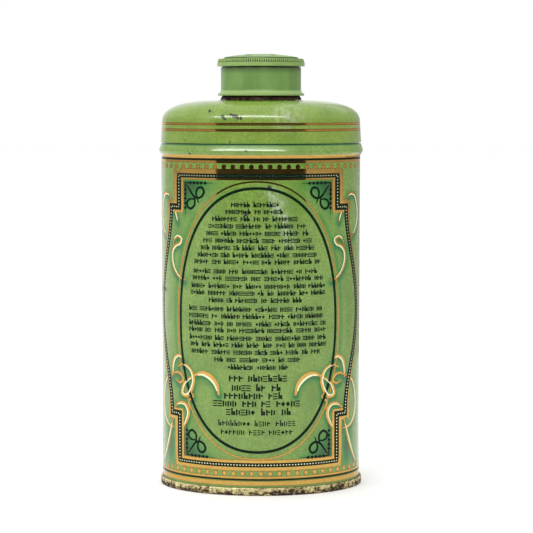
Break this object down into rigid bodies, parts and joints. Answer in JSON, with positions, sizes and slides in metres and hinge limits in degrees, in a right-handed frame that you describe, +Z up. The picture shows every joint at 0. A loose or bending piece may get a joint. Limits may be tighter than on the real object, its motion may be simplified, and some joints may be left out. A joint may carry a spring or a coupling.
{
  "type": "talcum powder tin",
  "caption": "Oval lithographed tinplate powder tin with a double-seamed bottom, a domed shoulder cover and a plastic twist-open sifter closure.",
  "frame": {"origin": "middle of the base, on the surface that the tin stands on", "axes": "+Z up through the closure, +X across the wide front to the right as the front is seen, and the front faces -Y"},
  "size_m": [0.0636, 0.045, 0.135],
  "materials": {
    "litho_tinplate": "glossy green litho varnish with gold print, worn at the edges",
    "lacquered_tinplate": "yellow lacquered tinplate with rust flecks",
    "bare_tinplate": "tarnished tinplate",
    "green_plastic": "moulded, slightly matted by age"
  },
  "bodies": {
    "tin": {"body_shell": "litho_tinplate", "bottom_end": "lacquered_tinplate", "shoulder_cover": "litho_tinplate", "neck_ferrule": "bare_tinplate"},
    "closure": {"sifter_collar": "green_plastic"},
    "dial": {"turn_dial": "green_plastic"}
  },
  "joints": [
    {"name": "closure_lift", "type": "slide", "parent": "tin", "child": "closure", "axis": [0, 0, 1], "range_m": [0, 0.02]},
    {"name": "dial_turn", "type": "hinge", "parent": "closure", "child": "dial", "pos_m": [0, 0, 0.131], "axis": [0, 0, 1], "range_deg": [0, 30]}
  ]
}
